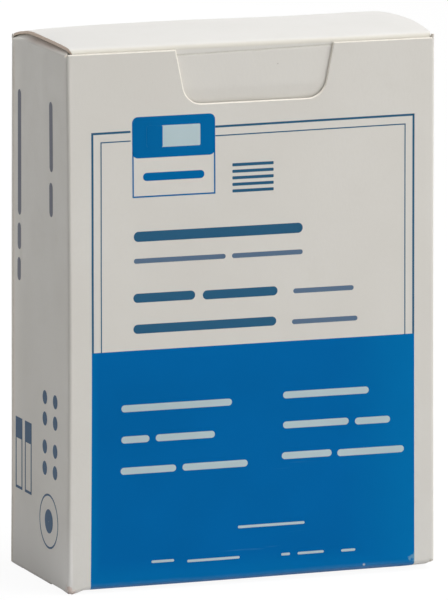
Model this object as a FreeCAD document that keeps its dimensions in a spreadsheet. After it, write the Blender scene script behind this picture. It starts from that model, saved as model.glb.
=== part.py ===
import FreeCAD, Part

# A folding carton that holds a pack of microscope slides.
#
# Millimetres. +X points to the carton's right, +Y to its back and +Z up. The origin is at the middle
# of the bottom. The carton is one folded and glued blank of thin board with a snap-lock bottom. Its
# lid hinges on the back panel's top edge and carries a tuck flap, which slides in behind the front
# panel. The slides stand on end inside, one against the next from left to right.

import math
import os

import Sketcher

SLIDE_COUNT = 50

SIZES = {
    # board
    "board_thickness": 0.4,
    "fold_inside_radius": 0.1,
    # slides
    "slide_length": 76.0,
    "slide_width": 26.0,
    "slide_thickness": 1.08,
    "slide_film": 0.02,          # air between two slides
    # room left around the stack of slides
    "side_clearance": 0.8,
    "back_clearance": 0.2,
    "front_clearance": 1.55,     # the tuck flap moves in here
    "head_room": 2.2,            # from the slides to the front panel's top edge
    # walls
    "side_drop": 0.4,            # side panels end this far below the front panel's edge
    "edge_lift": 0.2,            # cut bottom edges of the side panels stand this high
    "seam_setback": 0.7,         # the left panel's cut edge stops this far from the back
    "glue_tab_width": 12.0,
    "glue_tab_taper": 3.0,
    # thumb notch in the front panel
    "notch_width": 24.7,
    "notch_depth": 8.1,
    "notch_taper": 1.6,
    "notch_corner_radius": 3.0,
    # top dust flaps, folded in from the side panels
    "dust_bend_inside_radius": 0.8,
    "dust_flap_length": 18.0,
    "dust_flap_front": 9.5,      # root, in front of the middle
    "dust_flap_back": 7.5,       # root, behind the middle
    "dust_flap_taper": 2.5,
    "dust_flap_corner_radius": 3.0,
    # bottom flaps, which lie in layers
    "layer_gap": 0.05,
    "lock_side_inset": 0.7,
    "front_lock_reach": 13.3,
    "front_lock_taper": 4.5,
    "tongue_width": 18.0,
    "tongue_slope_run": 4.0,
    "tongue_reach": 21.3,
    "tongue_corner_radius": 2.0,
    "back_lock_reach": 17.2,
    "back_lock_taper": 4.0,
    "back_lock_level_run": 1.2,
    "back_lock_slope_run": 5.5,
    "recess_side_gap": 0.5,      # beside the tongue
    "recess_depth": 6.0,
    "side_lock_reach": 18.0,
    "side_lock_level_run": 1.0,
    "side_lock_slope_run": 4.5,
    "side_lock_front_gap": 0.4,  # beside the front lock's taper
    "side_lock_hook_front": 9.0,
    "side_lock_back": 7.4,
    # lid
    "lid_side_gap": 0.1,
    "roll_inside_radius": 0.5,
    "roll_rise": 0.8,            # the front roll stands this far above the front panel's edge
    "crown_rise": 2.1,           # the arched lid's highest line above the same edge
    "hinge_clearance": 0.05,
    # tuck flap
    "flap_panel_gap": 0.1,
    "flap_side_gap": 0.6,
    "flap_length": 10.0,
    "flap_taper": 1.0,
    "flap_corner_radius": 4.0,
    "flap_lean": 4.9,            # degrees, away from the front panel
    "crease_clearance": 0.03,
}

document = FreeCAD.newDocument("SlideCarton")


def make_sheet():
    """Keep the driving sizes in a spreadsheet whose cells have aliases."""
    sheet = document.addObject("Spreadsheet::Sheet", "Sizes")
    for row, (name, number) in enumerate(SIZES.items(), start=1):
        sheet.set(f"A{row}", name)
        sheet.set(f"B{row}", str(number))
        sheet.setAlias(f"B{row}", name)
    document.recompute()
    return sheet


sheet = make_sheet()


def value(expression):
    """The number that an expression gives."""
    result = sheet.evalExpression(expression)
    return float(getattr(result, "Value", result))


# ---------------------------------------------------------------- sizes worked out from the sheet

board = "Sizes.board_thickness"
fold_radius = f"({board} + Sizes.fold_inside_radius)"
fold_top = f"(2 * {fold_radius})"
layer = f"({board} + Sizes.layer_gap)"

slide_pitch = "(Sizes.slide_thickness + Sizes.slide_film)"
stack_length = f"({SLIDE_COUNT} * {slide_pitch} - Sizes.slide_film)"
slide_foot = f"(4 * {layer})"
slide_top = f"({slide_foot} + Sizes.slide_length)"

# The glue tab doubles the board at the left, so the stack's middle lies half a board to the right.
carton_width = f"({stack_length} + 2 * Sizes.side_clearance + 3 * {board})"
stack_middle = f"({board} / 2)"
carton_depth = f"(Sizes.slide_width + Sizes.back_clearance + Sizes.front_clearance + 2 * {board})"
right = f"({carton_width} / 2)"
left = f"(-{carton_width} / 2)"
back = f"({carton_depth} / 2)"
front = f"(-{carton_depth} / 2)"
slide_back = f"({back} - {board} - Sizes.back_clearance)"

front_height = f"({slide_top} + Sizes.head_room)"
side_height = f"({front_height} - Sizes.side_drop)"
back_height = f"({front_height} + {board})"

lid_width = f"({carton_width} - 2 * {board} - 2 * Sizes.lid_side_gap)"
lock_half_width = f"({right} - Sizes.lock_side_inset)"
front_lock_edge = f"({front} + Sizes.front_lock_reach)"
side_root_front = f"({front_lock_edge} - Sizes.front_lock_taper + Sizes.side_lock_front_gap)"

# The lid turns about the middle of the round crease bead on top of the back panel.
hinge_y = f"({back} - {fold_radius})"
hinge_z = f"({back_height} - {fold_radius})"
socket_radius = f"({fold_radius} + Sizes.hinge_clearance)"

# The lid's front roll, and the crease at its lower end that the tuck flap turns about.
roll_radius = f"(Sizes.roll_inside_radius + {board})"
roll_y = f"({front} + {board} + Sizes.flap_panel_gap + {roll_radius})"
roll_z = f"({front_height} + Sizes.roll_rise - {roll_radius})"
crease_y = f"({roll_y} - {roll_radius} + {board} / 2)"
crown_z = f"({front_height} + Sizes.crown_rise)"


# ---------------------------------------------------------------- drawing helpers

def bind(thing, **expressions):
    """Bind properties of a document object to expressions."""
    for name, expression in expressions.items():
        thing.setExpression(name.replace("__", "."), expression)


def plane_of(body, role):
    """One of a body's own origin planes."""
    return next(plane for plane in body.Origin.OriginFeatures if plane.Role == role)


def new_sketch(body, role, offset="0"):
    """A sketch on a plane of the body's origin, moved along the plane's normal."""
    sketch = body.newObject("Sketcher::SketchObject", body.Name + "_outline")
    sketch.AttachmentSupport = [(plane_of(body, role), "")]
    sketch.MapMode = "FlatFace"
    bind(sketch, AttachmentOffset__Base__z=offset)
    return sketch


def dimension(sketch, kind, *references, size):
    """Add a dimension and bind it to an expression."""
    index = sketch.addConstraint(Sketcher.Constraint(kind, *references, value(size)))
    sketch.setExpression(f"Constraints[{index}]", size)


def place_point(sketch, geometry, position, across, up):
    """Fix a point of the sketch at a place given by two expressions."""
    dimension(sketch, "DistanceX", -1, 1, geometry, position, size=across)
    dimension(sketch, "DistanceY", -1, 1, geometry, position, size=up)


def join(sketch, kind, *references):
    """Add a constraint that has no size."""
    sketch.addConstraint(Sketcher.Constraint(kind, *references))


def flat_point(across, up):
    return FreeCAD.Vector(value(across), value(up), 0)


def arc_at(middle, radius, start, end):
    """Part of a circle, drawn anticlockwise between two angles in radians."""
    circle = Part.Circle(middle, FreeCAD.Vector(0, 0, 1), radius)
    return Part.ArcOfCircle(circle, start, end)


def angle_from(middle, point):
    return math.atan2(point.y - middle.y, point.x - middle.x)


def draw_outline(sketch, corners):
    """Draw a closed outline. A corner is (across, up) or, where it is rounded, (across, up, radius)."""
    points = [flat_point(*corner[:2]) for corner in corners]
    starts, ends, rounds = [], [], []
    for index, corner in enumerate(corners):
        point = points[index]
        if len(corner) == 2:
            starts.append(point)
            ends.append(point)
            rounds.append(None)
            continue
        radius = value(corner[2])
        before = (points[index - 1] - point).normalize()
        after = (points[(index + 1) % len(points)] - point).normalize()
        half_angle = before.getAngle(after) / 2
        reach = radius / math.tan(half_angle)
        middle = point + (before + after).normalize() * (radius / math.sin(half_angle))
        starts.append(point + before * reach)
        ends.append(point + after * reach)
        rounds.append((middle, radius, before.cross(after).z > 0))

    lines = []
    for index in range(len(corners)):
        end = starts[(index + 1) % len(corners)]
        lines.append(sketch.addGeometry(Part.LineSegment(ends[index], end)))

    for index, corner in enumerate(corners):
        line_in, line_out = lines[index - 1], lines[index]
        if rounds[index] is None:
            join(sketch, "Coincident", line_in, 2, line_out, 1)
            place_point(sketch, line_out, 1, *corner)
            continue
        middle, radius, clockwise = rounds[index]
        first, last = starts[index], ends[index]
        if clockwise:
            first, last = last, first
        arc = sketch.addGeometry(arc_at(middle, radius, angle_from(middle, first), angle_from(middle, last)))
        near_in, near_out = (2, 1) if clockwise else (1, 2)
        join(sketch, "Tangent", line_in, 2, arc, near_in)
        join(sketch, "Tangent", arc, near_out, line_out, 1)
        dimension(sketch, "Radius", arc, size=corner[2])
        tip = sketch.addGeometry(Part.Point(points[index]), True)
        join(sketch, "PointOnObject", tip, 1, line_in)
        join(sketch, "PointOnObject", tip, 1, line_out)
        place_point(sketch, tip, 1, *corner[:2])


def pad(body, sketch, length, midplane=False):
    """Give a sketch its length."""
    feature = body.newObject("PartDesign::Pad", body.Name + "_pad")
    feature.Profile = sketch
    feature.Midplane = midplane
    bind(feature, Length=length)
    sketch.Visibility = False
    return feature


def prism(name, role, outlines, length, offset="0", midplane=False):
    """A body with one or more closed outlines, padded along the plane's normal."""
    body = document.addObject("PartDesign::Body", name)
    sketch = new_sketch(body, role, offset)
    for outline in outlines:
        draw_outline(sketch, outline)
    pad(body, sketch, length, midplane)
    return body


def box(name, low, high):
    """A box between two corners, each given by three expressions."""
    block = document.addObject("Part::Box", name)
    sizes = [f"({top}) - ({bottom})" for bottom, top in zip(low, high)]
    bind(block, Length=sizes[0], Width=sizes[1], Height=sizes[2])
    bind(block, Placement__Base__x=low[0], Placement__Base__y=low[1], Placement__Base__z=low[2])
    return block


def rod(name, radius, length, y, z):
    """A cylinder along X, centred on the carton's middle."""
    cylinder = document.addObject("Part::Cylinder", name)
    cylinder.Placement.Rotation = FreeCAD.Rotation(FreeCAD.Vector(0, 1, 0), 90)
    bind(cylinder, Radius=radius, Height=length)
    bind(cylinder, Placement__Base__x=f"-({length}) / 2", Placement__Base__y=y, Placement__Base__z=z)
    return cylinder


def combine(kind, name, *shapes):
    """Fuse or intersect shapes."""
    result = document.addObject(kind, name)
    result.Shapes = list(shapes)
    return result


def cut(name, base, tool):
    result = document.addObject("Part::Cut", name)
    result.Base = base
    result.Tool = tool
    return result


# ---------------------------------------------------------------- the carton's walls

def make_walls():
    """The four panels with rounded upright folds. The back panel's glue tab lies inside the left panel."""
    tab_face = f"({left} + 2 * {board})"
    tab_end = f"({back} - Sizes.glue_tab_width)"
    inside = "Sizes.fold_inside_radius"
    outer = [
        (left, front, fold_radius),
        (right, front, fold_radius),
        (right, back, fold_radius),
        (f"{left} + {board}", back, fold_radius),
        (f"{left} + {board}", f"{back} - Sizes.seam_setback"),
        (left, f"{back} - Sizes.seam_setback"),
    ]
    inner = [
        (f"{left} + {board}", f"{front} + {board}", inside),
        (f"{right} - {board}", f"{front} + {board}", inside),
        (f"{right} - {board}", f"{back} - {board}", inside),
        (tab_face, f"{back} - {board}", inside),
        (tab_face, tab_end),
        (f"{left} + {board}", tab_end),
    ]
    height = f"{front_height} - Sizes.edge_lift"
    return prism("walls", "XY_Plane", [outer, inner], height, offset="Sizes.edge_lift")


def make_notch_cutter():
    """The thumb notch, wider at the top, with rounded lower corners."""
    top = f"({front_height} + 1)"
    bottom = f"({front_height} - Sizes.notch_depth)"
    slope = "(Sizes.notch_taper / Sizes.notch_depth)"
    half_top = f"(Sizes.notch_width / 2 + {slope})"
    half_bottom = "(Sizes.notch_width / 2 - Sizes.notch_taper)"
    outline = [
        (f"-{half_top}", top),
        (f"-{half_bottom}", bottom, "Sizes.notch_corner_radius"),
        (half_bottom, bottom, "Sizes.notch_corner_radius"),
        (half_top, top),
    ]
    return prism("notch_cutter", "XZ_Plane", [outline], f"4 * {board}", offset=f"-{front}", midplane=True)


def make_wall_cutters():
    """What the walls lose at their ends: room for the lid and for the bottom folds."""
    beyond_x, beyond_y = f"({right} + 1)", f"({back} + 1)"
    inside_front = f"({front} + {fold_radius})"
    inside_back = f"({back} - {fold_radius})"
    return [
        make_notch_cutter(),
        box("top_cutter", (f"-{beyond_x}", inside_front, side_height),
            (beyond_x, beyond_y, f"{front_height} + 1")),
        box("front_fold_cutter", (f"-{lock_half_width}", f"-{beyond_y}", "-1"),
            (lock_half_width, inside_front, fold_radius)),
        box("back_fold_cutter", (f"-{lock_half_width}", inside_back, "-1"),
            (lock_half_width, beyond_y, fold_radius)),
        box("side_fold_cutter", (f"-{beyond_x}", side_root_front, "-1"),
            (beyond_x, "Sizes.side_lock_back", fold_radius)),
        make_tab_cutter("tab_top_cutter", side_height, -1),
        make_tab_cutter("tab_bottom_cutter", "Sizes.edge_lift", 1),
    ]


def make_tab_cutter(name, end, inward):
    """Taper one end of the glue tab, so that it stays clear of the flaps."""
    root = f"({end} + {inward} * Sizes.glue_tab_taper / 2)"
    tip = f"({end} + {inward} * 2 * Sizes.glue_tab_taper)"
    beyond = f"({end} - {inward})"
    near, far = f"({back} - {board})", f"({back} - Sizes.glue_tab_width - 1)"
    outline = [(near, beyond), (near, root), (far, tip), (far, beyond)]
    return prism(name, "YZ_Plane", [outline], f"2 * {board}", offset=f"{left} + {board}")


def make_hinge_strip():
    """The top of the back panel, which ends in the round bead that the lid turns about."""
    strip = box("hinge_strip", (f"-{lid_width} / 2", f"{back} - {board}", f"{side_height} - 1"),
                (f"{lid_width} / 2", back, hinge_z))
    bead = rod("hinge_bead", fold_radius, lid_width, hinge_y, hinge_z)
    return [strip, bead]


# ---------------------------------------------------------------- the carton's flaps

def flap(name, profile, role, profile_length, outline):
    """A bent flap: its section through the board, kept where it lies inside its outline seen from above."""
    section = prism(name + "_section", role, [profile], profile_length, midplane=True)
    plan = prism(name + "_plan", "XY_Plane", [outline], f"2 * {crown_z}", midplane=True)
    return combine("Part::MultiCommon", name, section, plan)


def make_dust_flap(side):
    """A top dust flap, which bends in from a side panel under the lid."""
    sign = {"left": "-1", "right": "1"}[side]
    inside = "Sizes.dust_bend_inside_radius"
    bend = f"({inside} + {board})"
    face, level = right, f"({side_height} + {bend})"
    tip = f"({right} - Sizes.dust_flap_length)"
    below = f"({side_height} - 1)"
    profile = [
        (f"{sign} * {face}", below),
        (f"{sign} * {face}", level, bend),
        (f"{sign} * {tip}", level),
        (f"{sign} * {tip}", f"{level} - {board}"),
        (f"{sign} * ({face} - {board})", f"{level} - {board}", inside),
        (f"{sign} * ({face} - {board})", below),
    ]
    shoulder = f"({right} - 4)"
    near, far = "(-Sizes.dust_flap_front)", "Sizes.dust_flap_back"
    corner = "Sizes.dust_flap_corner_radius"
    outline = [
        (f"{sign} * ({right} + 1)", near),
        (f"{sign} * {shoulder}", near),
        (f"{sign} * {tip}", f"{near} + Sizes.dust_flap_taper", corner),
        (f"{sign} * {tip}", f"{far} - Sizes.dust_flap_taper", corner),
        (f"{sign} * {shoulder}", far),
        (f"{sign} * ({right} + 1)", far),
    ]
    return flap(f"{side}_dust_flap", profile, "XZ_Plane", carton_depth, outline)


def make_front_lock():
    """The outermost bottom flap, folded from the front panel, with the tongue that locks the bottom."""
    edge = front_lock_edge
    raised = f"({edge} + Sizes.tongue_slope_run)"
    tip = f"({front} + Sizes.tongue_reach)"
    top = f"(3 * {layer})"
    profile = [
        (front, fold_top),
        (front, "0", fold_radius),
        (edge, "0"),
        (raised, top),
        (tip, top),
        (tip, f"{top} + {board}"),
        (raised, f"{top} + {board}"),
        (edge, board),
        (f"{front} + {board}", board, "Sizes.fold_inside_radius"),
        (f"{front} + {board}", fold_top),
    ]
    half_tongue = "(Sizes.tongue_width / 2)"
    shoulder = f"({edge} - Sizes.front_lock_taper)"
    corner = "Sizes.tongue_corner_radius"
    half_edge = f"({lock_half_width} - Sizes.front_lock_taper)"
    outline = [
        (f"-{lock_half_width}", f"{front} - 1"),
        (lock_half_width, f"{front} - 1"),
        (lock_half_width, shoulder),
        (half_edge, edge),
        (half_tongue, edge),
        (half_tongue, tip, corner),
        (f"-{half_tongue}", tip, corner),
        (f"-{half_tongue}", edge),
        (f"-{half_edge}", edge),
        (f"-{lock_half_width}", shoulder),
    ]
    return flap("front_lock", profile, "YZ_Plane", carton_width, outline)


def make_back_lock():
    """The innermost bottom flap, folded from the back panel. Its recess lets the tongue through."""
    level_end = f"({back} - Sizes.back_lock_level_run)"
    raised = f"({level_end} - Sizes.back_lock_slope_run)"
    edge = f"({back} - Sizes.back_lock_reach)"
    top = f"(2 * {layer})"
    profile = [
        (back, fold_top),
        (back, "0", fold_radius),
        (level_end, "0"),
        (raised, top),
        (edge, top),
        (edge, f"{top} + {board}"),
        (raised, f"{top} + {board}"),
        (level_end, board),
        (f"{back} - {board}", board, "Sizes.fold_inside_radius"),
        (f"{back} - {board}", fold_top),
    ]
    half_recess = "(Sizes.tongue_width / 2 + Sizes.recess_side_gap)"
    recess_end = f"({edge} + Sizes.recess_depth)"
    shoulder = f"({edge} + Sizes.back_lock_taper)"
    half_edge = f"({lock_half_width} - Sizes.back_lock_taper)"
    outline = [
        (f"-{lock_half_width}", f"{back} + 1"),
        (f"-{lock_half_width}", shoulder),
        (f"-{half_edge}", edge),
        (f"-{half_recess}", edge),
        (f"-{half_recess}", recess_end),
        (half_recess, recess_end),
        (half_recess, edge),
        (half_edge, edge),
        (lock_half_width, shoulder),
        (lock_half_width, f"{back} + 1"),
    ]
    return flap("back_lock", profile, "YZ_Plane", carton_width, outline)


def make_side_lock(side):
    """A bottom flap folded from a side panel. Its hook lies between the front and the back lock."""
    sign = {"left": "-1", "right": "1"}[side]
    level_end = f"({right} - Sizes.side_lock_level_run)"
    raised = f"({level_end} - Sizes.side_lock_slope_run)"
    tip = f"({right} - Sizes.side_lock_reach)"
    profile = [
        (f"{sign} * {right}", fold_top),
        (f"{sign} * {right}", "0", fold_radius),
        (f"{sign} * {level_end}", "0"),
        (f"{sign} * {raised}", layer),
        (f"{sign} * {tip}", layer),
        (f"{sign} * {tip}", f"{layer} + {board}"),
        (f"{sign} * {raised}", f"{layer} + {board}"),
        (f"{sign} * {level_end}", board),
        (f"{sign} * ({right} - {board})", board, "Sizes.fold_inside_radius"),
        (f"{sign} * ({right} - {board})", fold_top),
    ]
    hook = f"({raised} - 2)"
    near, far = "(-Sizes.side_lock_hook_front)", "Sizes.side_lock_back"
    outline = [
        (f"{sign} * ({right} + 1)", side_root_front),
        (f"{sign} * {lock_half_width}", side_root_front),
        (f"{sign} * ({lock_half_width} - Sizes.front_lock_taper)",
         f"{side_root_front} + Sizes.front_lock_taper"),
        (f"{sign} * {hook}", near),
        (f"{sign} * {tip}", near),
        (f"{sign} * {tip}", far),
        (f"{sign} * ({right} + 1)", far),
    ]
    return flap(f"{side}_lock", profile, "XZ_Plane", carton_depth, outline)


def make_carton():
    """The folded and glued blank, without its lid."""
    cutters = combine("Part::MultiFuse", "wall_cutters", *make_wall_cutters())
    walls = cut("trimmed_walls", make_walls(), cutters)
    flaps = [make_dust_flap("left"), make_dust_flap("right"), make_side_lock("left"),
             make_side_lock("right"), make_front_lock(), make_back_lock()]
    carton = combine("Part::MultiFuse", "carton", walls, *make_hinge_strip(), *flaps)
    carton.Refine = True
    carton.Label = "carton"
    return carton


# ---------------------------------------------------------------- lid and tuck flap

def draw_lid_section(sketch):
    """The arched lid from the side: hinge socket, crown, front roll and rounded crease."""
    roll = flat_point(roll_y, roll_z)
    hinge = flat_point(hinge_y, hinge_z)
    crease = flat_point(crease_y, roll_z)
    thickness, crown = value(board), value(crown_z)
    outer_roll, inner_roll = value(roll_radius), value("Sizes.roll_inside_radius")
    bead, socket = value(fold_radius), value(socket_radius)

    # The arch touches the roll and the hinge bead from outside. This start lies close to that, and
    # the sketch's own constraints make it exact.
    front_rise = crown - roll.y - outer_roll
    back_rise = crown - hinge.y - bead
    span = hinge.x - roll.x
    spread = span / (math.sqrt(front_rise) + math.sqrt(back_rise))
    arch_radius = (spread ** 2 + crown - roll.y + outer_roll) / 2
    arch = FreeCAD.Vector(roll.x + spread * math.sqrt(front_rise), crown - arch_radius, 0)

    def meeting_angle(radius):
        """Where a circle about the arch's middle crosses the hinge socket, on the lid's side."""
        reach = hinge.distanceToPoint(arch)
        cosine = (radius ** 2 + reach ** 2 - socket ** 2) / (2 * radius * reach)
        return angle_from(arch, hinge) + math.acos(cosine)

    def on_arch(radius, angle):
        return arch + FreeCAD.Vector(math.cos(angle), math.sin(angle), 0) * radius

    roll_angle = angle_from(arch, roll)
    outer_angle, inner_angle = meeting_angle(arch_radius), meeting_angle(arch_radius - thickness)
    outer_end = on_arch(arch_radius, outer_angle)
    inner_end = on_arch(arch_radius - thickness, inner_angle)
    socket_start, socket_end = angle_from(hinge, outer_end), angle_from(hinge, inner_end)

    roll_outside = sketch.addGeometry(arc_at(roll, outer_roll, roll_angle, math.pi))
    arch_outside = sketch.addGeometry(arc_at(arch, arch_radius, outer_angle, roll_angle))
    hinge_socket = sketch.addGeometry(arc_at(hinge, socket, socket_start, socket_end))
    arch_inside = sketch.addGeometry(arc_at(arch, arch_radius - thickness, inner_angle, roll_angle))
    roll_inside = sketch.addGeometry(arc_at(roll, inner_roll, roll_angle, math.pi))
    crease_round = sketch.addGeometry(arc_at(crease, thickness / 2, math.pi, 2 * math.pi))
    bead_circle = sketch.addGeometry(Part.Circle(hinge, FreeCAD.Vector(0, 0, 1), bead), True)
    crown_line = sketch.addGeometry(
        Part.LineSegment(FreeCAD.Vector(roll.x, crown, 0), FreeCAD.Vector(hinge.x, crown, 0)), True)

    join(sketch, "Tangent", roll_outside, 1, arch_outside, 2)
    join(sketch, "Tangent", roll_inside, 1, arch_inside, 2)
    join(sketch, "Coincident", arch_outside, 1, hinge_socket, 1)
    join(sketch, "Coincident", arch_inside, 1, hinge_socket, 2)
    join(sketch, "Coincident", roll_outside, 2, crease_round, 1)
    join(sketch, "Coincident", roll_inside, 2, crease_round, 2)
    join(sketch, "Coincident", arch_inside, 3, arch_outside, 3)
    join(sketch, "Coincident", roll_inside, 3, roll_outside, 3)
    join(sketch, "Coincident", bead_circle, 3, hinge_socket, 3)
    join(sketch, "Tangent", bead_circle, arch_outside)
    join(sketch, "Tangent", crown_line, arch_outside)
    place_point(sketch, roll_outside, 3, roll_y, roll_z)
    place_point(sketch, hinge_socket, 3, hinge_y, hinge_z)
    place_point(sketch, crown_line, 1, roll_y, crown_z)
    place_point(sketch, crown_line, 2, hinge_y, crown_z)
    dimension(sketch, "Radius", roll_outside, size=roll_radius)
    dimension(sketch, "Radius", roll_inside, size="Sizes.roll_inside_radius")
    dimension(sketch, "Radius", hinge_socket, size=socket_radius)
    dimension(sketch, "Radius", bead_circle, size=fold_radius)
    dimension(sketch, "DistanceY", -1, 1, roll_outside, 2, size=roll_z)
    dimension(sketch, "DistanceY", -1, 1, roll_inside, 2, size=roll_z)
    dimension(sketch, "DistanceY", -1, 1, crease_round, 3, size=roll_z)


def make_lid():
    """The top panel, arched by the dust flaps that spring up under it."""
    lid = document.addObject("PartDesign::Body", "lid")
    sketch = new_sketch(lid, "YZ_Plane")
    draw_lid_section(sketch)
    pad(lid, sketch, lid_width, midplane=True)
    lid.Label = "lid"
    return lid


def make_tuck_flap():
    """The flap at the lid's front edge. It hangs from the crease and leans away from the front panel."""
    half_root = f"({right} - {board} - Sizes.flap_side_gap)"
    half_tip = f"({half_root} - Sizes.flap_taper)"
    corner = "Sizes.flap_corner_radius"
    outline = [
        (f"-{half_root}", "0"),
        (f"-{half_tip}", "-Sizes.flap_length", corner),
        (half_tip, "-Sizes.flap_length", corner),
        (half_root, "0"),
    ]
    blank = prism("tuck_flap_blank", "XZ_Plane", [outline], board, midplane=True)
    groove = rod("crease_groove", f"{board} / 2 + Sizes.crease_clearance", carton_width, "0", "0")
    tuck_flap = cut("tuck_flap", blank, groove)
    tuck_flap.Label = "tuck_flap"
    tuck_flap.Placement.Rotation = FreeCAD.Rotation(FreeCAD.Vector(1, 0, 0), SIZES["flap_lean"])
    bind(tuck_flap, Placement__Base__y=crease_y, Placement__Base__z=roll_z,
         Placement__Rotation__Angle="Sizes.flap_lean")
    return tuck_flap


# ---------------------------------------------------------------- slides

def make_slide(number):
    """One slide, standing on end. The first is at the left."""
    near = f"({slide_back} - Sizes.slide_width)"
    start = f"({stack_middle} - {stack_length} / 2 + {number - 1} * {slide_pitch})"
    slide = box(f"slide_{number:02d}", (start, near, slide_foot),
                (f"{start} + Sizes.slide_thickness", slide_back, slide_top))
    slide.Label = f"slide_{number:02d}"
    return slide


# ---------------------------------------------------------------- build, check and write

def failed(thing):
    return "Invalid" in thing.State or "Error" in thing.State


def check(pieces):
    """Stop before anything is written if an object failed or a piece isn't one sound solid."""
    for thing in document.Objects:
        if failed(thing):
            raise RuntimeError(f"{thing.Label} did not recompute: {thing.State}")
    for piece in pieces:
        shape = piece.Shape
        if shape.isNull() or not shape.isValid() or len(shape.Solids) != 1:
            raise RuntimeError(f"{piece.Label} is not one valid solid")


def write(pieces):
    os.makedirs("parts", exist_ok=True)
    for piece in pieces:
        piece.Shape.exportStep(f"parts/{piece.Label}.step")


pieces = [make_carton(), make_lid(), make_tuck_flap()]
pieces += [make_slide(number) for number in range(1, SLIDE_COUNT + 1)]
document.recompute()
check(pieces)
write(pieces)
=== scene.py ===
"""Looks for the microscope slide box. Lengths are in millimetres until a mesh is made."""

import math

import bmesh
import bpy
import numpy as np
from mathutils import Matrix, Vector, noise


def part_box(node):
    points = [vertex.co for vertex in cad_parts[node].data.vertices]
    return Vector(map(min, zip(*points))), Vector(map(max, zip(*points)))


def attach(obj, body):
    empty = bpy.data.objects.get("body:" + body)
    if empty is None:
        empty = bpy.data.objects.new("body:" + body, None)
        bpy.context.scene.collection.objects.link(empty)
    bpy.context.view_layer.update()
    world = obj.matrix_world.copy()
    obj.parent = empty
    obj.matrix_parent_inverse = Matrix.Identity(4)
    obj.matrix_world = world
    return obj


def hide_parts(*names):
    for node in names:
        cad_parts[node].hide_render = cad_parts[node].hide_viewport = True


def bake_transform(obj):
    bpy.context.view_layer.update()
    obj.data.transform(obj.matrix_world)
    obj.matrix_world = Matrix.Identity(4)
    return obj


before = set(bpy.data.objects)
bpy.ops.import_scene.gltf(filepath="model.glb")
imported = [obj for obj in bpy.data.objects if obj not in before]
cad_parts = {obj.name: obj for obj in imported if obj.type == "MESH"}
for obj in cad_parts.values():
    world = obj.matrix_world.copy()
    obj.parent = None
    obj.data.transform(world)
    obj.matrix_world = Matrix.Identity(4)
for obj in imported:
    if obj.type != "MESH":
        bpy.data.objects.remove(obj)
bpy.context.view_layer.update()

MM = 0.001
_, walls_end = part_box("carton")
RIGHT, BACK = walls_end.x / MM, walls_end.y / MM  # outer faces of the walls
LEFT, FRONT = -RIGHT, -BACK
BOARD = 0.4  # thickness of the board
FOLD = 0.5  # outer radius of a fold
FRONT_TOP, SIDE_TOP = 80.0, 79.6  # top edges of the front and side panels
EDGE_LIFT = 0.2  # a cut bottom edge stands this high
CUT_STEP = 0.1  # an edge steps up or down within this width
HINGE = (BACK - FOLD, 79.9)  # the lid's axis, as (y, z)
HINGE_ROOM = 0.2  # the back wall stops this far below the axis
LID_HALF = RIGHT - 0.5  # half the lid's width
LID_SLANT = 0.18  # the lid's left end is cut this far aslant
LOCK_HALF = RIGHT - 0.7  # half the bottom flaps' width
BEVEL = 0.16  # the die pressed the front's edge this far in

# the thumb notch
NOTCH_FLOOR, NOTCH_HALF, NOTCH_TAPER, NOTCH_ROUND = 71.9, 12.35, 1.6, 3.0
NOTCH_MIDDLE = 0.45
NOTCH_FLAT = 7.2  # its floor is level this far from its middle

# the left panel's back edge: where its top rounds off, where it ends, and its torn strip
SHOULDER, SEAM, TORN = 10.9, 12.6, 1.2
SHOULDER_DROP, SHOULDER_REACH = 2.4, 1.7
TORN_DEPTH = 0.12  # the torn strip's edge lies this much deeper
FRAY, FRAY_TOP = 0.8, 60  # and drifts back by this at the floor, from this height down

# the glue tab
TAB_REACH, TAB_TAPER = 12, 12.6
TAB_LIFT, TAB_SLOPE, TAB_DROP = 1.5, 4.5, 6.8  # how it narrows at the bottom and at the top

# the nub at the right front corner
NUB_REACH, NUB_RISE, NUB_SIDE_RISE = 0.36, 0.5, 0.45

# the walls' points lie closer together below and above these heights
HEM_TOP, NECK = 1.2, 69.5

# the print on the front panel
FIELD_LEFT, FIELD_RIGHT, FIELD_TOP = -25.33, 25.68, 35.85
FRAME_LEAN, FRAME_BEND = 0.12, 48.0  # the frame's left side leans in above this height
FRAME_LEFT, FRAME_RIGHT = (FIELD_LEFT + FRAME_LEAN, 68.4), (FIELD_RIGHT, 68.8)

OUTSIDE, INK, CORE, INSIDE, SCORE_SHADE_SLOT = range(5)  # material slots of a board mesh
SHARP_ANGLE = 38  # degrees between faces that meet in an edge


# ---- how the carton has bowed

LEAN_LEFT, LEAN_BACK = 0.49, 0.30  # the left side's lean, and more at its back
BOW_FRONT, BOW_BACK = 0.27, -0.06  # its bow at the front and at the back
TUCK_IN, BOW_RIGHT = 0.17, 0.08  # the right side's foot and its bow
FOLD_LIFT = 0.7  # the front's bottom fold stands this high
FOLD_RISE, RISE_FROM, RISE_TO = 0.3, -12, 26  # and rises by this much between two places
CORNER_RISE = 0.35  # and by this at the right corner

# the dents in the bottom corners: place, size and depth
DENTS = ((LEFT, FRONT, 1.5, 0.2), (RIGHT, FRONT, 1.0, 0.07),
         (LEFT, BACK, 1.0, 0.06), (RIGHT, BACK, 1.0, 0.06))


def smooth(value, low, high):
    """A smooth step from 0 to 1 while value goes from low to high."""
    t = np.clip((value - low) / (high - low), 0, 1)
    return t * t * (3 - 2 * t)


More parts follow.
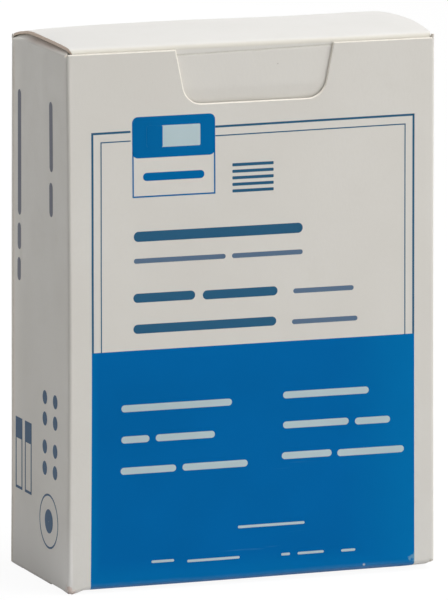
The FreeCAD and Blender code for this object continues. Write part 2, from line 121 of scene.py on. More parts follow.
def warp(points):
    """The carton isn't quite square: its left side leans, and its panels bow and wave."""
    p = np.array(points, float)
    x, y, z = p[..., 0], p[..., 1], p[..., 2]
    height = np.clip(z / FRONT_TOP, 0, 1)
    rise = np.sin(np.pi * np.clip((z - 1) / 78, 0, 1))
    across, deep = x / RIGHT, y / BACK
    left, right, back = (1 - across) / 2, (1 + across) / 2, (1 + deep) / 2
    p[..., 0] = x + left * (height * (LEAN_LEFT + LEAN_BACK * back)
                            + rise * (BOW_FRONT + (BOW_BACK - BOW_FRONT) * back)) \
        - right * (TUCK_IN * (1 - height) + BOW_RIGHT * rise)
    wave = 0.05 * np.sin(x / 9 + z / 13) + 0.04 * np.sin(x / 4.7 - z / 21 + 1.3)
    inward = np.where(y < 0, 0.09 + wave, -0.05)
    p[..., 1] = y + rise * inward * (1 - across ** 2) * np.abs(deep) ** 3 \
        + 0.04 * np.clip(-deep, 0, 1) ** 8
    lift = FOLD_LIFT * smooth(x, LEFT + 0.4, LEFT + 2.8) \
        + FOLD_RISE * smooth(x, RISE_FROM, RISE_TO) + CORNER_RISE * smooth(x, 24, RIGHT)
    p[..., 2] = z + lift * np.clip(-deep, 0, 1) ** 6 * np.clip(1 - z / 12, 0, 1) ** 2
    return p


# the dents come out the same in every run: unseeded, this noise starts from the clock
DENT_SEED = 7
noise.seed_set(DENT_SEED)


def crumple(points):
    """The front left bottom corner is knocked in, and the other bottom corners a little."""
    p = np.array(points, float)
    flat = p.reshape(-1, 3)
    for corner_x, corner_y, size, push in DENTS:
        corner = np.array((corner_x, corner_y, EDGE_LIFT))
        reach = np.linalg.norm(flat - corner, axis=1)
        for index in np.nonzero(reach < 3 * size)[0]:
            share = math.exp(-(reach[index] / size) ** 2)
            bump = noise.noise_vector(Vector(flat[index] * 1.7))
            flat[index, 0] += share * push * (0.5 * bump.x - 0.5 * np.sign(corner_x))
            flat[index, 1] += share * push * (0.5 * bump.y - 0.5 * np.sign(corner_y))
            flat[index, 2] = max(0.0, flat[index, 2] + share * push * 0.8 * (bump.z - 0.3))
    return flat.reshape(p.shape)


def sag(points):
    """The top back left corner has sunk, where the seam gives."""
    p = np.array(points, float)
    x, y, z = p[..., 0], p[..., 1], p[..., 2]
    p[..., 2] = z - 0.5 * smooth(-x, 22, 28.4) * smooth(y, 5, 13) * smooth(z, 76, 80)
    return p


def shaped(points):
    return crumple(warp(sag(points)))


# ---- mesh building

def add_object(name, data):
    thing = bpy.data.objects.new(name, data)
    bpy.context.scene.collection.objects.link(thing)
    return thing


class Board:
    """Sheets of board gathered into one mesh. change bends all their points."""

    def __init__(self, change):
        self.points, self.faces, self.slots = [], [], []
        self.change = change

    def grid(self, points, slots):
        """Quads over a grid of points. slots is one number or one per quad."""
        rows, columns = points.shape[:2]
        a = len(self.points) + np.arange(rows * columns).reshape(rows, columns)[:-1, :-1].ravel()
        self.points.extend(map(tuple, self.change(points).reshape(-1, 3)))
        self.faces.extend(np.stack((a, a + 1, a + columns + 1, a + columns), axis=1).tolist())
        self.slots.extend(np.broadcast_to(slots, (rows - 1, columns - 1)).ravel().tolist())

    def sheet(self, outer, normals, slots, free, slant):
        """A sheet of board: outer face, inner face and raw edges, on its first row only if free.

        slant is how far the outer face stops short of the inner one at the first column, along x.
        """
        inner = outer - BOARD * normals
        outer[:, 0, 0] += slant
        self.grid(outer, slots)
        self.grid(inner[:, ::-1], INSIDE)
        both = np.stack((inner, outer), axis=2)
        raw = (both[0], both[-1, ::-1], both[::-1, 0], both[:, -1])
        for edge in raw if free else raw[1:]:
            self.grid(edge, CORE)

    def make(self, name, materials):
        """The piece, with its sheets' shared points joined and all faces pointing out."""
        mesh = bpy.data.meshes.new(name)
        mesh.from_pydata([tuple(c * MM for c in p) for p in self.points], [], self.faces)
        for material in materials:
            mesh.materials.append(material)
        mesh.polygons.foreach_set("material_index", self.slots)
        work = bmesh.new()
        work.from_mesh(mesh)
        bmesh.ops.remove_doubles(work, verts=work.verts, dist=2e-7)
        bmesh.ops.recalc_face_normals(work, faces=work.faces)
        work.to_mesh(mesh)
        work.free()
        mesh.polygons.foreach_set("use_smooth", [True] * len(mesh.polygons))
        mesh.set_sharp_from_angle(angle=math.radians(SHARP_ANGLE))
        return add_object(name, mesh)


def arc(middle, radius, start, end, steps):
    """Points on a circle with their outward directions, angles in degrees."""
    angles = np.radians(np.linspace(start, end, steps + 1))
    directions = np.stack((np.cos(angles), np.sin(angles)), axis=1)
    return np.array(middle) + radius * directions, directions


def spaced(start, end, step):
    """Even numbers from start to end, about step apart."""
    return np.linspace(start, end, max(2, int(math.ceil(abs(end - start) / step)) + 1))


def places_between(stops, steps):
    """Places from the first stop to the last, with a step length for each stretch."""
    found = [spaced(a, b, step)[:-1] for a, b, step in zip(stops, stops[1:], steps)]
    return np.concatenate(found + [[stops[-1]]])


def profile(*parts):
    """A path from parts of (points, normals), without repeated points."""
    points = np.concatenate([p for p, _ in parts])
    normals = np.concatenate([n for _, n in parts])
    keep = np.r_[True, np.linalg.norm(np.diff(points, axis=0), axis=1) > 1e-6]
    return points[keep], normals[keep]


def straight(start, end, normal, step):
    """Points on a line in even steps, all with one outward direction."""
    start, end = np.array(start, float), np.array(end, float)
    count = len(spaced(0, np.linalg.norm(end - start), step))
    points = start + (end - start) * np.linspace(0, 1, count)[:, None]
    return points, np.tile(np.array(normal, float) / np.linalg.norm(normal), (count, 1))


def smoothed(points):
    """Outward directions of a path that runs left to right with its outside on the left."""
    along = np.gradient(points, axis=0)
    along /= np.linalg.norm(along, axis=1)[:, None]
    return np.stack((-along[:, 1], along[:, 0]), axis=1)


# ---- the walls

def notch_top(x, grow=0.0):
    """Height of the front panel's cut edge: level, with the thumb notch in its middle.

    grow moves the whole edge into the board.
    """
    slope = NOTCH_TAPER / (FRONT_TOP - NOTCH_FLOOR)
    slant = math.hypot(1, slope)
    floor, radius = NOTCH_FLOOR - grow, NOTCH_ROUND + grow
    half_floor = NOTCH_HALF - NOTCH_TAPER + grow * (slant - slope)
    middle = half_floor + radius * (slope - slant)
    turn = middle + radius / slant
    x = abs(x - NOTCH_MIDDLE)
    if x <= middle:
        return floor
    if x <= turn:
        return floor + radius - math.sqrt(radius ** 2 - (x - middle) ** 2)
    return min(FRONT_TOP - grow, floor + (x - half_floor) / slope)


def front_columns():
    """Places across the front panel, close together at the notch's sides."""
    wide = NOTCH_HALF + BEVEL
    notch = [NOTCH_MIDDLE + x for x in (-wide, -NOTCH_FLAT, NOTCH_FLAT, wide)]
    flap = LOCK_HALF - CUT_STEP
    stops = [LEFT + FOLD, -LOCK_HALF, -flap, FIELD_LEFT, *notch,
             FIELD_RIGHT, flap, LOCK_HALF, RIGHT - FOLD]
    return places_between(stops, [1.0] * 4 + [0.08, 1.0, 0.08] + [1.0] * 4)


def side_columns(start):
    """Places along a side panel, from back to front, close together at the back."""
    stops = [start, SHOULDER, SIDE_LOCK_BACK + CUT_STEP, SIDE_LOCK_BACK,
             SIDE_LOCK_FRONT, SIDE_LOCK_FRONT - CUT_STEP, FRONT + FOLD]
    return places_between(stops, [0.12] + [1.0] * 5)


def along_panel(xs, ys, normal):
    """A stretch of the path, given by its x and its y."""
    points = np.stack(np.broadcast_arrays(xs, ys), axis=1).astype(float)
    return points, np.tile(normal, (len(points), 1))


def wall_path():
    """The blank's outer face, from the cut edge at the back left to the glue tab's end."""
    left_side, side = np.r_[SEAM, side_columns(SEAM - TORN)], side_columns(BACK - 0.7)
    tab_x = LEFT + BOARD
    return profile(
        along_panel(LEFT, left_side, (-1.0, 0.0)),
        arc((LEFT + FOLD, FRONT + FOLD), FOLD, 180, 270, 8),
        along_panel(front_columns(), FRONT, (0.0, -1.0)),
        arc((RIGHT - FOLD, FRONT + FOLD), FOLD, -90, 0, 8),
        along_panel(RIGHT, side[::-1], (1.0, 0.0)),
        arc((RIGHT - FOLD, BACK - FOLD), FOLD, 0, 90, 8),
        straight((RIGHT - FOLD, BACK), (LID_HALF, BACK), (0, 1), 0.1),
        # the back panel is narrower at the left, where it turns into the glue tab
        straight((LID_HALF, BACK), (tab_x + FOLD, BACK), (0, 1), 1.2),
        arc((tab_x + FOLD, BACK - FOLD), FOLD, 90, 180, 8),
        straight((tab_x, BACK - FOLD), (tab_x, BACK - TAB_REACH), (-1, 0), 1.0))


def wall_ends(x, y, nx, ny):
    """Bottom, outer top and inner top of the wall at one place of the path."""
    bottom, top, bevel = EDGE_LIFT, SIDE_TOP, 0.0
    level, tiny = 0.999, 0.02
    if abs(ny) > level and abs(x) <= LOCK_HALF:
        bottom = FOLD
    if ny < -level:  # the front panel
        top, bevel = notch_top(x), notch_top(x) - notch_top(x, BEVEL)
    elif ny > level:  # the back panel
        top = HINGE[1] - HINGE_ROOM if abs(x) <= LID_HALF + 1e-6 else SIDE_TOP
    elif ny < -0.3:  # the front folds
        share = min(1, (-ny - 0.3) / 0.4)
        top = SIDE_TOP + (FRONT_TOP - SIDE_TOP) * share
        bevel = BEVEL * share
        if x > RIGHT - NUB_REACH:
            top, bevel = FRONT_TOP + NUB_RISE, 0.0
    elif ny > 0.3:  # the back folds
        top = HINGE[1] - (HINGE_ROOM if abs(x) <= LID_HALF else 0.0)
    elif abs(nx) > level and abs(x) < RIGHT - 0.01:  # the glue tab
        share = (BACK - BOARD - y) / TAB_TAPER
        bottom = EDGE_LIFT + TAB_LIFT + TAB_SLOPE * share
        top = HINGE[1] - 0.05 - TAB_DROP * max(0.0, share - 0.22)
    elif abs(nx) > level:  # the side panels
        if SIDE_LOCK_FRONT - tiny <= y <= SIDE_LOCK_BACK + tiny:
            bottom = FOLD
        if x > 0 and y < -13.3:
            top = FRONT_TOP + NUB_SIDE_RISE
        if x < 0:
            top -= SHOULDER_DROP * max(0.0, (y - SHOULDER) / SHOULDER_REACH) ** 1.6
            if y < SIDE_LOCK_FRONT - tiny:
                bottom = 0.25 + 0.15 * float(smooth(y, FRONT, FRONT + 3))
    return bottom, top - bevel, top


def make_walls(materials):
    """The four panels and the glue tab, with the front's field printed on them."""
    path, normals = wall_path()
    ends = np.array([wall_ends(*p, *n) for p, n in zip(path, normals)])
    middle = np.tile(places_between((HEM_TOP, FIELD_TOP, NECK), (1.7, 1.7)), (len(path), 1))
    lower = np.array([0, 0.15, 0.3, 0.45, 0.6, 0.8])
    upper = np.linspace(0, 1, 13)[1:]

    def sheet_points(shift, tops):
        low, top, spots = ends[:, :1], tops[:, None], path - shift * normals
        heights = np.concatenate((low + (HEM_TOP - low) * lower, middle,
                                  NECK + (top - NECK) * upper), axis=1)
        return np.dstack(np.broadcast_arrays(spots[:, :1], spots[:, 1:], heights))

    outer, inner = sheet_points(0, ends[:, 1]), sheet_points(BOARD, ends[:, 2])
    outer[0, :, 0] += TORN_DEPTH
    drift = FRAY * np.clip(1 - outer[:2, :, 2] / FRAY_TOP, 0, 1) ** 2
    outer[:2, :, 1] += drift
    inner[:2, :, 1] += drift
    lip = sheet_points(BEVEL, ends[:, 2])[:, -1]
    middles = (outer[:-1, :-1] + outer[1:, 1:]) / 2
    on_front = (np.maximum(normals[:-1, 1], normals[1:, 1]) < -0.999)[:, None]
    inked = on_front & (middles[..., 0] > FIELD_LEFT) & (middles[..., 0] < FIELD_RIGHT) \
        & (middles[..., 2] < FIELD_TOP)
    torn = (np.arange(len(path) - 1) == 0)[:, None]
    board = Board(shaped)
    board.grid(outer, np.where(torn, CORE, np.where(inked, INK, OUTSIDE)))
    board.grid(inner[:, ::-1], INSIDE)
    for lines in ((outer[:, -1], lip, inner[:, -1]), (inner[:, 0], outer[:, 0]),
                  (inner[0], outer[0]), (outer[-1], inner[-1])):
        board.grid(np.stack(lines, axis=1), CORE)
    return board.make("carton_walls", materials)


# ---- flaps of the carton

# dust flaps: length, height, corner radius, and the air under the lid close to their folds
DUST_REACH, DUST_LEVEL, DUST_ROUND, DUST_GAP = 18, 80.39, 3, 0.07
DUST_FOLD, DUST_TURN = 0.35, 0.7  # radii of a dust flap's two bends
DUST_SLOPE, DUST_RUN = 50, 0.55  # the slope between them, in degrees, and its length

# bottom flaps: how far each reaches in from its panel, and its parts. LAYER is their spacing
LAYER = BOARD + 0.05
FRONT_LOCK, FRONT_TAPER = 13.3, 4.5
TONGUE, TONGUE_RUN, TONGUE_HALF, TONGUE_ROUND = 21.3, 4.0, 9, 2
BACK_LOCK, BACK_TAPER, BACK_LEVEL, BACK_RUN = 17.2, 4, 1.2, 5.5
RECESS_DEPTH, RECESS_HALF = 6, 9.5
SIDE_LOCK, SIDE_LEVEL, SIDE_RUN, SIDE_HOOK = 18, 1, 4.5, 2
SIDE_LOCK_FRONT, SIDE_LOCK_BACK, SIDE_HOOK_FRONT = -5.075, 7.4, -9.0


def flap_sheet(board, path, normals, near, far, share, axis, slots=OUTSIDE, free=False, slant=0.0):
    """A sheet whose section is a path and whose two sides are given for each place along it.

    share is the number of columns, or where they stand between the sides. axis is the direction
    of the width: 0 for x, where the path holds (y, z), and 1 for y, where it holds (x, z).
    """
    if np.isscalar(share):
        share = np.linspace(0, 1, share + 1)
    near, far = np.array(near)[:, None], np.array(far)[:, None]
    outer = np.zeros((len(path), len(share), 3))
    spread = np.zeros_like(outer)
    outer[..., axis] = near + (far - near) * share
    for grid, values in ((outer, path), (spread, normals)):
        grid[..., 1 - axis], grid[..., 2] = values[:, :1], values[:, 1:]
    board.sheet(outer, spread, slots, free, slant)


def rounded_end(distance, radius):
    """How far a rounded corner draws a side in, at a distance from the flap's end."""
    if distance >= radius:
        return 0.0
    return radius - math.sqrt(max(0.0, radius ** 2 - (radius - distance) ** 2))


def make_dust_flaps(materials):
    """Each dust flap bends over from its side panel and props up the lid, close under it."""
    tip = RIGHT - DUST_REACH

    def propped(points):
        p = np.array(points, float)
        x, y, z = p[..., 0], p[..., 1], p[..., 2]
        near_fold = np.exp(-(RIGHT - 1 - np.abs(x)).clip(0) / 8)
        risen = smooth(z, SIDE_TOP, DUST_LEVEL)
        under = (lid_height(x, y) - BOARD - DUST_GAP - DUST_LEVEL) * near_fold * risen
        p[..., 2] = sag(p)[..., 2] * (1 - risen) + z * risen + under
        return crumple(warp(p))

    board = Board(propped)
    stops = (tip, RIGHT - 4, RIGHT - 1, RIGHT - 0.53, RIGHT - 0.29, RIGHT)
    front_edge = (-7.6, -11.0, -12.2, -13.0, -13.25, -13.3)
    back_edge = (8.3, 10.4, 11.3, 11.9, 12.3, 12.6)
    for sign in (-1, 1):
        # a tight fold, a slope in under the lid's edge, and a soft turn to level
        fold, first = arc((RIGHT - DUST_FOLD, SIDE_TOP), DUST_FOLD, 0, DUST_SLOPE, 8)
        along = np.array((-first[-1, 1], first[-1, 0]))
        slope = straight(fold[-1], fold[-1] + DUST_RUN * along, first[-1], 0.1)
        turn, last = arc(slope[0][-1] - DUST_TURN * first[-1], DUST_TURN, DUST_SLOPE, 90, 8)
        bend = tip + DUST_ROUND
        xs = places_between((tip, bend, turn[-1, 0]), (0.25, 1.2))
        path, normals = profile((fold, first), slope, (turn, last),
                                along_panel(xs[::-1], turn[-1, 1], (0.0, 1.0)))
        pulls = np.array([rounded_end(x - tip, DUST_ROUND) for x in path[:, 0]])
        near = np.interp(path[:, 0], stops, front_edge) + pulls
        far = np.interp(path[:, 0], stops, back_edge) - pulls
        flap_sheet(board, path * (sign, 1), normals * (sign, 1), near, far, 32, 1)
    return board.make("dust_flaps", materials)


def add_front_lock(board):
    """The outermost flap of the bottom. Its tongue lies on top of the others."""
    edge = FRONT + FRONT_LOCK
    shoulder = edge - FRONT_TAPER
    path, normals = profile(arc((FRONT + FOLD, FOLD), FOLD, 180, 270, 8),
                            straight((FRONT + FOLD, 0), (shoulder, 0), (0, -1), 0.7),
                            straight((shoulder, 0), (edge, 0), (0, -1), 0.7))
    half = [LOCK_HALF - max(0.0, y - shoulder) for y, _ in path]
    # the columns meet the edges of the blue field, which runs round the fold
    columns = places_between((-LOCK_HALF, FIELD_LEFT, FIELD_RIGHT, LOCK_HALF), [1.0] * 3)
    middle_x, middle_y = (columns[:-1] + columns[1:]) / 2, (path[:-1, :1] + path[1:, :1]) / 2
    inked = (middle_x > FIELD_LEFT) & (middle_x < FIELD_RIGHT) & (middle_y < FRONT + 0.9)
    flap_sheet(board, path, normals, [-h for h in half], half, (columns / LOCK_HALF + 1) / 2, 0,
               np.where(inked, INK, OUTSIDE))

    raised, tip, height = edge + TONGUE_RUN, FRONT + TONGUE, 3 * LAYER
    path, normals = profile(
        straight((edge, 0), (raised, height), (height, -TONGUE_RUN), 0.8),
        straight((raised, height), (tip - TONGUE_ROUND, height), (0, -1), 0.8),
        straight((tip - TONGUE_ROUND, height), (tip, height), (0, -1), 0.2))
    half = [TONGUE_HALF - rounded_end(tip - y, TONGUE_ROUND) for y, _ in path]
    flap_sheet(board, path, normals, [-h for h in half], half, 16, 0)


def add_back_lock(board):
    """The innermost flap of the bottom, with a recess for the tongue."""
    level_end, edge, height = BACK - BACK_LEVEL, BACK - BACK_LOCK, 2 * LAYER
    shoulder, raised, recess = edge + BACK_TAPER, level_end - BACK_RUN, edge + RECESS_DEPTH
    path, normals = profile(
        arc((BACK - FOLD, FOLD), FOLD, 0, -90, 8),
        straight((BACK - FOLD, 0), (level_end, 0), (0, -1), 0.7),
        straight((level_end, 0), (raised, height), (-height, -BACK_RUN), 0.8),
        straight((raised, height), (recess, height), (0, -1), 0.8))
    half = [LOCK_HALF] * len(path)
    flap_sheet(board, path, normals, [-h for h in half], half, 56, 0)
    fingers = profile(straight((recess, height), (shoulder, height), (0, -1), 0.8),
                      straight((shoulder, height), (edge, height), (0, -1), 0.8))
    half = [LOCK_HALF - max(0.0, shoulder - y) for y, _ in fingers[0]]
    for sign in (-1, 1):
        flap_sheet(board, *fingers, [sign * RECESS_HALF] * len(half), [sign * h for h in half],
                   18, 0)


def add_side_locks(board):
    """The two side flaps of the bottom, between the other two."""
    foot, taper_end = RIGHT - SIDE_LEVEL, LOCK_HALF - SIDE_RUN
    top = foot - SIDE_RUN
    hook = top - SIDE_HOOK
    risen = LAYER * (foot - taper_end) / SIDE_RUN
    path, normals = profile(
        arc((RIGHT - FOLD, FOLD), FOLD, 0, -90, 8),
        straight((RIGHT - FOLD, 0), (LOCK_HALF, 0), (0, -1), 0.2),
        straight((LOCK_HALF, 0), (foot, 0), (0, -1), 0.2),
        straight((foot, 0), (taper_end, risen), (-LAYER, -SIDE_RUN), 0.7),
        straight((taper_end, risen), (top, LAYER), (0, -1), 0.3),
        straight((top, LAYER), (hook, LAYER), (0, -1), 0.4),
        straight((hook, LAYER), (RIGHT - SIDE_LOCK, LAYER), (0, -1), 1.0))
    near = np.interp(path[:, 0], (hook, taper_end, LOCK_HALF),
                     (SIDE_HOOK_FRONT, SIDE_LOCK_FRONT + SIDE_RUN, SIDE_LOCK_FRONT))
    far = [SIDE_LOCK_BACK] * len(near)
    for sign in (-1, 1):
        flap_sheet(board, path * (sign, 1), normals * (sign, 1), near, far, 14, 1)


def make_bottom(materials):
    """The four flaps of the snap-lock bottom, in their layers."""
    board = Board(shaped)
    add_front_lock(board)
    add_back_lock(board)
    add_side_locks(board)
    return board.make("bottom_flaps", materials)


def make_hinge_fold(materials):
    """The scored fold along the top of the back panel, which the lid turns about."""
    board = Board(lambda p: warp(sag(p)))
    ring, _ = arc(HINGE, FOLD, -90, 270, 28)
    rims = np.stack([np.insert(ring, 0, x, axis=1) for x in spaced(-LID_HALF, LID_HALF, 1.5)],
                    axis=1)
    board.grid(rims, OUTSIDE)
    for x, rim in ((-LID_HALF, rims[:, 0]), (LID_HALF, rims[:, -1])):
        board.grid(np.stack((np.tile((x, *HINGE), (len(ring), 1)), rim), axis=1), CORE)
    return board.make("hinge_fold", materials)


# ---- lid and tuck flap

# profiles of the lid as (y, z), over most of its width and at its left edge, back to front
LID_ARCH = ((13.67, 80.40), (12.9, 80.66), (12.0, 80.86), (9.35, 81.21), (5.9, 81.46),
            (2.48, 81.64), (-0.93, 81.72), (-4.31, 81.70), (-7.68, 81.53), (-11.03, 81.19),
            (-12.4, 80.92))
LEFT_ARCH = ((13.67, 79.94), (12.2, 80.27), (10.19, 80.62), (8.18, 80.89), (6.17, 81.15),
             (4.19, 81.24), (1.22, 81.20), (-1.73, 81.14), (-4.67, 81.08), (-7.59, 81.02),
             (-10.5, 80.94), (-12.44, 80.86))
# how the crown rises and falls along its length, as (x, rise)
CROWN = ((-28.4, 0), (-16, 0.03), (-8, 0.08), (0, 0.06), (7.8, -0.09), (15, -0.19), (22, -0.05),
         (25, 0.03), (28.4, 0))
ROLL, ROLL_RADIUS = (-12.875, 80.0), 0.9
FLAP_HALF = RIGHT - 1.0  # half the tuck flap's width at its root
FLAP_LENGTH, FLAP_ROUND = 10.0, 4
# the score line is painted darker over SCORE_REACH each side: painted shade in its crease
SCORE_DEPTH, SCORE_REACH = 0.65, 0.13  # the scored line below the roll, and half its width
SCORE_PRESS, SCORE_SPREAD = 0.04, 0.14  # the depth and reach of its groove
SCORE_TILT = 0.0184  # it rises this much to the right


def flap_draw_in(length):
    """How far the flap has curled in from the front panel at a length below the roll."""
    return np.maximum(0, 0.0081 * (length + 0.2) ** 2 - 0.3)


def through(stops, step):
    """A smooth path through some points (Catmull-Rom)."""
    first, last = 2 * np.array(stops[0]) - stops[1], 2 * np.array(stops[-1]) - stops[-2]
    p = np.array([first, *stops, last], float)
    found = []
    for a, b, c, d in zip(p, p[1:], p[2:], p[3:]):
        for t in np.linspace(0, 1, max(2, int(np.linalg.norm(c - b) / step) + 1))[:-1]:
            found.append(0.5 * (2 * b + (c - a) * t + (2 * a - 5 * b + 4 * c - d) * t * t
                                + (3 * b - a - 3 * c + d) * t ** 3))
    return np.array(found + [p[-2]])


def make_lid(materials):
    """Lid, front roll and tuck flap: one sheet that bends where the flap turns."""
    arch = through(LID_ARCH, 0.6)
    roll, _ = arc(ROLL, ROLL_RADIUS, 105, 180, 14)
    lengths = places_between((0, 1, 6, FLAP_LENGTH), (0.05, 0.5, 0.2))[1:]
    hanging = np.stack((roll[-1, 0] + flap_draw_in(lengths), roll[-1, 1] - lengths), axis=1)
    path = np.concatenate((arch, roll, hanging))
    normals = -smoothed(path)
    after = np.r_[np.full(len(arch) + len(roll), -1.0), lengths]
    groove = SCORE_PRESS * np.exp(-((after - SCORE_DEPTH) / SCORE_SPREAD) ** 2)
    path = path - normals * groove[:, None]
    # the left end of the roll draws in to the flap's width, and the right end doesn't
    turn = 0.6 * (1 - smooth(path[:, 1], ROLL[1] + 0.05, ROLL[1] + 0.85))
    turn[:len(arch)] = 0
    near, far = [], []
    for length, share in zip(after, turn):
        on_flap = FLAP_HALF - length / FLAP_LENGTH - rounded_end(FLAP_LENGTH - length, FLAP_ROUND)
        near.append(-on_flap if length >= 0 else (LID_HALF - FLAP_HALF) * share - LID_HALF)
        far.append(on_flap if length >= 0 else LID_HALF)
    middles = (after[:-1] + after[1:]) / 2
    # the score line's slot, painted darker: painted shade in the crease
    slots = np.where(np.abs(middles - SCORE_DEPTH) < SCORE_REACH, SCORE_SHADE_SLOT, OUTSIDE)[:, None]
    board = Board(lambda p: warp(arched(p)))
    flap_sheet(board, path, normals, near, far, 60, 0, slots, True, LID_SLANT)
    return board.make("lid_and_flap", materials)


def height_at(y, stops):
    """Height of a lid profile at a depth."""
    ys, zs = zip(*stops[::-1])
    return np.interp(y, ys, zs)


def lowered(x, y):
    """How much lower the lid is near its left edge than at its right one."""
    return (height_at(y, LEFT_ARCH) - height_at(y, LID_ARCH)) * np.exp(-(x + LID_HALF) / 6)


def lid_height(x, y):
    return height_at(y, LID_ARCH) + lowered(x, y)


def arched(points):
    """The lid's arch is lower at its left edge and its crown isn't quite even."""
    p = np.array(points, float)
    x, y, z = p[..., 0], p[..., 1], p[..., 2]
    # what is free to sink starts just over the hinge at the back, and on the roll at the front
    free = np.where(y > 0, np.clip((z - 79.3) / 0.6, 0, 1), np.clip((z - 79.95) / 0.8, 0, 1))
    crown = np.interp(x, *zip(*CROWN)) * np.clip((z - 80.4) / 1.2, 0, 1)
    below = ROLL[1] - z
    score = smooth(below, -0.1, 0.4) * (1 - smooth(below, 0.95, 2.4)) * (y < -13)
    tilt = SCORE_TILT * (x - NOTCH_MIDDLE) * score * smooth(LID_HALF - np.abs(x), 0, 6)
    p[..., 2] = z + free * lowered(x, y) + crown + tilt
    return p


# ---- print

INK_LIFT = 0.012  # the ink lies this far out from the board
THINNEST = 0.004  # half the least width of a printed shape


def bar_lines(start, end, low, high, radius):
    """Places along a rounded bar, each with the two sides of the bar there."""
    middle, half = (low + high) / 2, (high - low) / 2
    ends = radius * (1 - np.cos(np.linspace(0, np.pi / 2, 7)))
    places = np.concatenate((start + ends, spaced(start + radius, end - radius, 1.5), end - ends))
    for place in np.unique(np.round(places, 4)):
        h = max(half - rounded_end(min(place - start, end - place), radius), THINNEST)
        yield place, middle - h, middle + h


class Print:
    """Flat ink shapes on one panel, in the panel's own across and up."""

    def __init__(self, panel, layer=1):
        self.front = panel == "front"
        out = np.array((0, 1, 0) if self.front else (1, 0, 0)) * layer * INK_LIFT
        self.board = Board(lambda points: warp(points) - out)

    def place(self, across, up):
        return (across, FRONT, up) if self.front else (LEFT, across, up)

    def strip(self, pairs):
        """Quads between two lines, given as pairs of (across, up) points."""
        lines = [(a, np.add(a, b) / 2, b) for a, b in pairs]
        self.board.grid(np.array([[self.place(*point) for point in line] for line in lines]), 0)

    def bar(self, x0, z0, x1, z1, radius=None):
        """A rounded bar that lies, with nearly round ends if no radius is given."""
        radius = min(x1 - x0, z1 - z0) / 2 * 0.98 if radius is None else radius
        self.strip([((x, low), (x, high)) for x, low, high in bar_lines(x0, x1, z0, z1, radius)])

    def upright(self, y0, z0, y1, z1):
        """A rounded bar that stands, as a line of turned print does."""
        radius = (y1 - y0) / 2 * 0.98
        self.strip([((low, z), (high, z)) for z, low, high in bar_lines(z0, z1, y0, y1, radius)])

    def words(self, height, *places):
        """Bars in place of lettering, one to a word, each given by its ends and its middle."""
        for x0, x1, middle in places:
            self.bar(x0, middle - height / 2, x1, middle + height / 2)

    def line(self, start, end, width):
        along = np.subtract(end, start)
        stops, sides = straight(start, end, (-along[1], along[0]), 1.6)
        self.strip(zip(stops - sides * width / 2, stops + sides * width / 2))

    def frame(self, x0, z0, x1, z1, width):
        """The outline of a standing oblong."""
        mid = width / 2
        for x in (x0 + mid, x1 - mid):
            self.line((x, z0), (x, z1), width)
        for z in (z0 + mid, z1 - mid):
            self.line((x0 + width, z), (x1 - width, z), width)

    def ring(self, middle, across, up, width):
        """A ring given by half its outer width and height, or a disc if nearly as thick."""
        _, circle = arc((0, 0), 1, 0, 360, 48)
        self.strip(zip(middle + circle * (across - width, up - width),
                       middle + circle * (across, up)))

    def make(self, name, material):
        piece = self.board.make(name, [material])
        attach(piece, "carton")
        return piece


# the emblem's panel and the pale window in it
EMBLEM_LEFT, EMBLEM_RIGHT, EMBLEM_LINE = -18.86, -5.87, 0.22
WINDOW_LEFT, WINDOW_LOW, WINDOW_TOP = -16.6, 65.8, 69.0


def print_frame(lines):
    """Two lines round the front, broken at the top by the emblem."""
    for inset, width in ((0.0, 0.32), (1.42, 0.17)):
        mid = inset + width / 2
        corners = [(x + mid * turn, z - mid)
                   for (x, z), turn in ((FRAME_LEFT, 1), (FRAME_RIGHT, -1))]
        for (x, z), lean in zip(corners, (FRAME_LEAN, 0.0)):
            lines.line((x - lean, FIELD_TOP), (x - lean, FRAME_BEND), width)
            lines.line((x - lean, FRAME_BEND), (x, z + width / 2), width)
        slope = (corners[1][1] - corners[0][1]) / (corners[1][0] - corners[0][0])
        for (x, z), stop in zip(corners, (-19.1, -5.85)):
            lines.line((x, z), (stop, z + slope * (stop - x)), width)


